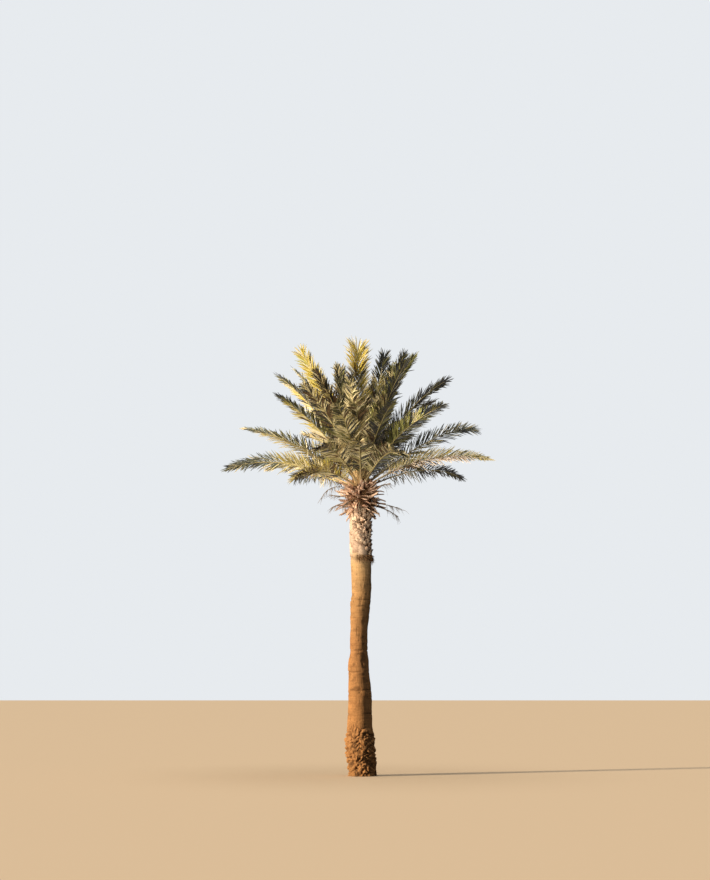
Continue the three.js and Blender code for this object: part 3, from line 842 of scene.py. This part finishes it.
def blade_rings(rows):
    """Leaflets as thin folded blades, keel below, that narrow to a point and sink a little."""
    root, way, upper = (np.array([row[k] for row in rows])[:, None, None] for k in range(3))
    length, width, droop = (np.array([row[k] for row in rows])[:, None, None, None] for k in range(3, 6))
    along = BLADE[None, :, None, :1]
    wide = width * BLADE[None, :, None, 1:]
    across = np.cross(upper, way)
    centre = root + way * length * along - UP * droop * length * along**2
    fold = math.radians(BLADE_FOLD)
    wing = across * math.cos(fold) * wide / 2
    lift = upper * math.sin(fold) * wide / 2
    thick = upper * BLADE_THICK / 2 * lerp(1, 0.3, along)
    return np.concatenate([centre - wing + lift, centre - thick, centre + wing + lift, centre + thick], 2)


def spine_rings(walk):
    """The stiff spines on both sides of a frond's bare stalk."""
    feet, ways, lengths = [], [], []
    shares = np.arange(SPINES["from"], FROND["stalk"] + SPINES["past"], SPINES["pitch"])
    for share, hand in product(shares, (-1, 1)):
        at = share + uniform(-SPINES["strays"], SPINES["strays"])
        point, forward, side, up = rib_at(walk, at)
        vee, angle = (np.radians(uniform(*SPINES[key])) for key in ("vee", "angle"))
        out = hand * side * np.cos(vee) + up * np.sin(vee)
        feet.append(point + hand * side * RIB["base_width"] * 0.33)
        ways.append(forward * np.cos(angle) + out * np.sin(angle))
        lengths.append(lerp(*SPINES["lengths"], share / FROND["stalk"]) * uniform(*SPINES["varies"]))
    lengths = np.array(lengths)
    thick = np.full_like(lengths, SPINES["thick"])
    return strand_rings(np.array(feet), np.array(ways), lengths, thick, np.zeros_like(lengths), 3)


def stalk_rings(azimuth, z, launch, tip, length, radius):
    """An old stalk: a thin knobbly limb that starts inside the trunk and droops. Gives its line too."""
    steps = STALK["steps"]
    points = [trunk_side(azimuth, z, STALK["sunk"])]
    for i in range(steps):
        points.append(points[-1] + direction(azimuth, lerp(launch, tip, i / steps)) * length / steps)
    share = np.linspace(0, 1, steps * STALK["fine"] + 1)
    corners = np.linspace(0, 1, steps + 1)
    line = np.stack([np.interp(share, corners, axis) for axis in np.transpose(points)], -1)
    side = np.broadcast_to(direction(azimuth + 90, 0), line.shape)
    up = direction(np.full_like(share, azimuth), lerp(launch, tip, share) + 90)
    turn = np.arange(STALK["sides"]) / STALK["sides"] * 2 * math.pi
    thick = radius * lerp(1, STALK["tip"], share) * (1 + STALK["knobbly"] * noise(line, 0.03, 31))
    spoke = np.cos(turn)[None, :, None] * side[:, None] + np.sin(turn)[None, :, None] * up[:, None]
    return line[:, None] + thick[:, None, None] * spoke, line


def stalk_twigs(line):
    """Dry twigs at an old stalk's end: their feet, directions, lengths and droops."""
    count = TWIGS["count"]
    at = uniform(TWIGS["from"], 1.0, count) * (len(line) - 1)
    on = line[-1] - line[-4]
    on = on / np.linalg.norm(on)
    way = on + normal(0, TWIGS["strays"], (count, 3)) - UP * TWIGS["sinks"]
    way /= np.linalg.norm(way, axis=-1, keepdims=True)
    sizes = [uniform(*TWIGS[size], count) for size in ("length", "droop")]
    return line[at.astype(int)], way, *sizes


# Materials
BARK_ZONES = [
    (0.00, (0.54, 0.265, 0.096)),
    (0.13, (0.55, 0.270, 0.100)),
    (0.20, (0.53, 0.260, 0.098)),
    (0.45, (0.53, 0.265, 0.105)),
    (0.60, (0.54, 0.300, 0.125)),
    (0.72, (0.60, 0.380, 0.185)),
    (0.77, (0.64, 0.470, 0.310)),
    (0.90, (0.66, 0.500, 0.350)),
    (1.00, (0.45, 0.230, 0.110)),
]
# The dark of the bark's marks and collar, also used for the painted shade between the foot's knobs and under
# the leaf bases.
BARK_MARKS_AND_SHADE = (0.055, 0.026, 0.012, 1)

# The bark's patches, bands and specks: strength, scale, detail and stretch, and their colours.
PLAIN = (1, 1, 1)
BARK_PATTERNS = [
    (0.55, 5.5, 5, (1, 1, 1.6), [(0.30, (0.55, 0.50, 0.45)), (0.55, PLAIN), (0.75, (1.22, 1.18, 1.12))]),
    (0.50, 1.0, 3, (0.8, 0.8, 22), [(0.30, (0.74, 0.66, 0.58)), (0.50, PLAIN)]),
    (0.45, 26, 3, (1, 1, 2.2), [(0.34, (0.42, 0.36, 0.32)), (0.46, PLAIN)]),
]

# Leaf bases: their colours at the trunk, darker there as painted shade, along them and at the cut, and
# the tone of the darkest.
BASE_LOOKS = {
    "worn_scale": ((0.50, 0.36, 0.26), (0.80, 0.64, 0.51), (0.40, 0.27, 0.20), (0.70, 0.62, 0.58)),
    "cut_stub": ((0.12, 0.055, 0.032), (0.84, 0.61, 0.48), (0.82, 0.68, 0.58), (0.31, 0.22, 0.18)),
}
BASE_TONES = [(0.5, (0.85, 0.80, 0.76)), (1.0, (1.15, 1.12, 1.05))]
BASE_GRAIN = [(0.35, (0.50, 0.45, 0.42)), (0.58, (1.08, 1.06, 1.04))]

# Plain finishes: colour, roughness, specular level and how strong their fine relief is.
PLAIN_LOOKS = {
    "sheath_fibre": ((0.26, 0.145, 0.072), 0.9, 0.1, 0),
    # The frond stalks come in a lit and a shaded copy: painted light on the sunny side's stalks, painted
    # shade on the shady side's.
    "stalk_painted_sunlit": ((0.68, 0.50, 0.27), 0.5, 0.4, 0.2),
    "stalk_painted_shade": ((0.34, 0.26, 0.14), 0.5, 0.4, 0.2),
    "rib_straw": ((0.52, 0.43, 0.20), 0.5, 0.4, 0.2),
    "spine_straw": ((0.46, 0.36, 0.17), 0.55, 0.4, 0),
    "old_stalk": ((0.25, 0.195, 0.15), 0.8, 0.25, 0.4),
    "dry_twig": ((0.24, 0.185, 0.14), 0.85, 0.2, 0),
    "floor": ((0.82, 0.645, 0.455), 0.95, 0.1, 0),
}
PLAIN_LOOKS |= {f"leaf_{tint}": (colour, 0.38, 0.6, 0.15) for tint, colour in TINTS.items()}


def feed(tree, socket, value):
    """Wires an output to a socket, or sets the socket to a plain value."""
    if isinstance(value, bpy.types.NodeSocket):
        tree.links.new(value, socket)
    else:
        socket.default_value = value


def add_node(tree, kind, **inputs):
    """A new node with its inputs fed."""
    node = tree.nodes.new(f"ShaderNode{kind}")
    for name, value in inputs.items():
        feed(tree, node.inputs[name], value)
    return node


def material(name, roughness, specular):
    """A new material, its node tree and its shader."""
    made = bpy.data.materials.new(name)
    made.use_nodes = True
    shader = made.node_tree.nodes["Principled BSDF"]
    shader.inputs["Roughness"].default_value = roughness
    shader.inputs["Specular IOR Level"].default_value = specular
    return made, made.node_tree, shader


def noise_node(tree, scale, detail, stretch=(1, 1, 1), rough=0.6):
    """Noise from 0 to 1 that falls by the surface's own place, stretched along each axis."""
    place = add_node(tree, "TexCoord").outputs["Object"]
    place = add_node(tree, "Mapping", Vector=place, Scale=stretch).outputs["Vector"]
    noisy = add_node(tree, "TexNoise", Vector=place, Scale=scale, Detail=detail, Roughness=rough)
    return noisy.outputs["Fac"]


def ramp_node(tree, source, stops):
    """A colour for each value of source."""
    ramp = add_node(tree, "ValToRGB", Fac=source)
    points = ramp.color_ramp.elements
    while len(points) < len(stops):
        points.new(0.5)
    for point, (position, colour) in zip(points, stops):
        point.position = position
        point.color = (*colour, 1)
    return ramp.outputs["Color"]


def mix_node(tree, share, a, b, blend):
    """Two colours mixed by a share."""
    mix = add_node(tree, "Mix")
    mix.data_type = "RGBA"
    mix.blend_type = blend
    for place, value in ((0, share), (6, a), (7, b)):
        feed(tree, mix.inputs[place], value)
    return mix.outputs[2]


def multiplied(tree, share, colour, source, stops):
    """A colour multiplied, by a share, by the colours that source picks."""
    return mix_node(tree, share, colour, ramp_node(tree, source, stops), "MULTIPLY")


def relief(tree, shader, height, strength, distance):
    """Fine relief from a height."""
    bump = add_node(tree, "Bump", Strength=strength, Distance=distance, Height=height)
    tree.links.new(bump.outputs["Normal"], shader.inputs["Normal"])


def attribute_node(tree, name):
    """A number that the mesh holds for each corner."""
    node = add_node(tree, "Attribute")
    node.attribute_name = name
    return node.outputs["Fac"]


def bark_material():
    """Sun-bleached palm bark: rust and tan low down, paler up to a cream collar, dark in its cracks and
    marks, with painted shade between the foot's knobs and under the leaf bases.
    """
    made, tree, shader = material("palm_bark", 0.9, 0.2)
    place = add_node(tree, "TexCoord").outputs["Object"]
    share = add_node(tree, "Math")
    share.operation = "DIVIDE"
    feed(tree, share.inputs[0], add_node(tree, "SeparateXYZ", Vector=place).outputs["Z"])
    feed(tree, share.inputs[1], HEART["centre"][2])
    colour = ramp_node(tree, share.outputs[0], BARK_ZONES)
    for strength, scale, detail, stretch, colours in BARK_PATTERNS:
        colour = multiplied(tree, strength, colour, noise_node(tree, scale, detail, stretch), colours)
    # Darkens the marks and the collar, and paints shade between the foot's knobs and under the leaf bases.
    colour = mix_node(tree, attribute_node(tree, "crack"), colour, BARK_MARKS_AND_SHADE, "MIX")
    tree.links.new(colour, shader.inputs["Base Color"])
    relief(tree, shader, noise_node(tree, 120, 5, (1, 1, 0.14), 0.7), 0.5, 0.004)
    return made


def base_material(name):
    """Dry leaf bases, whose colour changes from the trunk to the cut and from one to the next."""
    root, middle, cut, dark = BASE_LOOKS[name]
    made, tree, shader = material(name, 0.85, 0.25)
    # Darker at the trunk end: painted shade where each base meets the trunk.
    along = [(0.0, root), (0.45, middle), (0.93, middle), (0.99, cut)]
    colour = ramp_node(tree, attribute_node(tree, "along"), along)
    colour = multiplied(tree, 0.9, colour, attribute_node(tree, "tone"), [(0.0, dark), *BASE_TONES])
    colour = multiplied(tree, 0.75, colour, noise_node(tree, 34, 5, rough=0.7), BASE_GRAIN)
    tree.links.new(colour, shader.inputs["Base Color"])
    relief(tree, shader, noise_node(tree, 160, 4, rough=0.7), 0.4, 0.002)
    return made


def plain_material(name):
    """One plain colour, with fine relief and no pattern in its colour."""
    colour, roughness, specular, strength = PLAIN_LOOKS[name]
    made, tree, shader = material(name, roughness, specular)
    shader.inputs["Base Color"].default_value = (*colour, 1)
    if strength:
        relief(tree, shader, noise_node(tree, 220, 2), strength, 0.0015)
    return made


# Assembly
def finish_piece(piece, look, nodes):
    """Gives a piece its material, its body and the nodes it stands for."""
    piece.data.materials.append(look)
    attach(piece, BODY)
    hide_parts(*nodes)


def build_trunk():
    """The bark, the leaf bases and the fibre between them."""
    finish_piece(bark_mesh(), bark_material(), ["trunk"])
    scales = leaf_base_mesh("trunk_scales", scale_rows())
    finish_piece(scales, base_material("worn_scale"), ["trunk"])
    stubs = stub_rows() + broken_rows(*BROKEN, True) + broken_rows(*CHIPS, False)
    finish_piece(leaf_base_mesh("leaf_base_stubs", stubs), base_material("cut_stub"), ["trunk"])
    fibre = tubes("sheath_fibre", np.concatenate([fibre_rings(*row) for row in FIBRE]))
    finish_piece(fibre, plain_material("sheath_fibre"), ["trunk"])


def build_fronds():
    """Stalks, ribs and spines, then the leaflets, one piece for each tint."""
    stalk_end = round(FROND["steps"] * FROND["stalk_piece"])
    rib_end = round(FROND["steps"] * FROND["rib"])
    stalks, carriers = {True: [], False: []}, {True: [], False: []}
    ribs, spines = [], []
    leaflets = {tint: [] for tint in TINTS}
    wearers = {tint: set() for tint in TINTS}
    for index, (azimuth, *shape, left, right, outer, turn) in enumerate(frond_rows()):
        walk = walk_rib(azimuth, *shape)
        dress = left, right, outer, turn
        shady = on_shady_side(azimuth)
        stalks[shady].append(rib_rings(walk, 0, stalk_end))
        carriers[shady].append(FROND_NODES[index])
        ribs.append(rib_rings(walk, stalk_end, rib_end))
        spines.append(spine_rings(walk))
        worn = {-1: None, 1: None}
        for leaflet in side_leaflets(walk, index, dress, worn) + tip_leaflets(walk, dress, worn):
            leaflets[leaflet[-1]].append(leaflet)
            wearers[leaflet[-1]].add(FROND_NODES[index])

    # Stalks on the sunny side take the paler copy and those on the shady side the darker one: painted light
    # and shade.
    for shady, look in ((False, "stalk_painted_sunlit"), (True, "stalk_painted_shade")):
        stalk = tubes(f"frond_{look}", stalks[shady], True)
        finish_piece(stalk, plain_material(look), carriers[shady])
    finish_piece(tubes("frond_ribs", ribs, True), plain_material("rib_straw"), FROND_NODES)
    spines = tubes("frond_spines", np.concatenate(spines))
    finish_piece(spines, plain_material("spine_straw"), FROND_NODES)
    for tint, rows in leaflets.items():
        piece = tubes(f"leaflets_{tint}", blade_rings(rows))
        finish_piece(piece, plain_material(f"leaf_{tint}"), sorted(wearers[tint]))


def build_stalks():
    """The old stalks and what still hangs on them."""
    limbs, twigs = [], []
    for row in STALKS:
        rings, line = stalk_rings(*row)
        limbs.append(rings)
        twigs.append(stalk_twigs(line))
    finish_piece(tubes("old_stalks", limbs, True), plain_material("old_stalk"), STALK_NODES)
    foot, way, length, droop = (np.concatenate(values) for values in zip(*twigs))
    thick = np.full_like(length, TWIGS["thick"])
    twigs = tubes("old_stalk_twigs", strand_rings(foot, way, length, thick, droop, 4, 4))
    finish_piece(twigs, plain_material("dry_twig"), STALK_NODES)


build_trunk()
build_fronds()
build_stalks()

# Stage, light and camera
FLOOR_SIZE = 600
SKY_COLOUR = (0.80, 0.83, 0.86)
FILL = 0.075
SUN_PLACE = (0, 0, 12)
# The suns: name, azimuth, elevation, energy, softness and colour.
SUNS = [
    ("key", 203, 14, 5.2, 4, (1.0, 0.84, 0.63)),
    ("top", 205, 88, 1.3, 60, (1.0, 0.97, 0.92)),
]
CROWN_FILL = {
    "place": (-7.0, -14.0, 2.5), "aim": (0.0, 0.0, 7.0), "colour": (1.0, 0.91, 0.73),
    "power": 7200, "size": 1.5, "cone": 26, "blend": 0.6,
}
CAMERA = {"place": (-0.14, -30.0, 1.6), "tilt": 9.57, "lens": 61.36, "sensor": 36}


def floor():
    """A plain pale floor."""
    half = FLOOR_SIZE / 2
    corners = np.array([(-half, -half, 0), (half, -half, 0), (half, half, 0), (-half, half, 0)], float)
    piece = add_mesh("floor", corners, [[0, 1, 2, 3]])
    piece.data.materials.append(plain_material("floor"))
    piece.visible_diffuse = False


def sky():
    """A plain pale backdrop, which lights the palm softly."""
    world = bpy.data.worlds.new("backdrop")
    world.use_nodes = True
    tree = world.node_tree
    background = tree.nodes["Background"]
    background.inputs["Color"].default_value = (*SKY_COLOUR, 1)
    seen = add_node(tree, "LightPath").outputs["Is Camera Ray"]
    strength = add_node(tree, "MapRange", **{"Value": seen, "To Min": FILL, "To Max": 1})
    tree.links.new(strength.outputs["Result"], background.inputs["Strength"])
    bpy.context.scene.world = world


def light_at(name, kind, colour, energy, place, heading):
    """A lamp that shines along heading."""
    light = bpy.data.lights.new(name, kind)
    light.energy = energy
    light.color = colour
    lamp = bpy.data.objects.new(name, light)
    lamp.location = place
    lamp.rotation_euler = Vector(heading).to_track_quat("-Z", "Y").to_euler()
    lamp.visible_camera = False
    bpy.context.scene.collection.objects.link(lamp)
    return light


def lights():
    """A warm low key light on the left, a soft light from above, and a soft one for the crown's shade."""
    for name, azimuth, elevation, energy, softness, colour in SUNS:
        light = light_at(name, "SUN", colour, energy, SUN_PLACE, -direction(azimuth, elevation))
        light.angle = math.radians(softness)
    fill = CROWN_FILL
    heading = np.subtract(fill["aim"], fill["place"])
    light = light_at("crown_fill", "SPOT", fill["colour"], fill["power"], fill["place"], heading)
    light.shadow_soft_size = fill["size"]
    light.spot_size = math.radians(fill["cone"])
    light.spot_blend = fill["blend"]


def camera():
    """The photograph's view: from eye height, thirty metres off, looking up a little."""
    lens = bpy.data.cameras.new("camera")
    lens.lens = CAMERA["lens"]
    lens.sensor_width = CAMERA["sensor"]
    lens.clip_end = FLOOR_SIZE
    eye = bpy.data.objects.new("camera", lens)
    eye.location = CAMERA["place"]
    eye.rotation_euler = (math.radians(90 + CAMERA["tilt"]), 0, 0)
    bpy.context.scene.collection.objects.link(eye)
    bpy.context.scene.camera = eye


floor()
sky()
lights()
camera()
bpy.context.scene.view_settings.view_transform = "Standard"
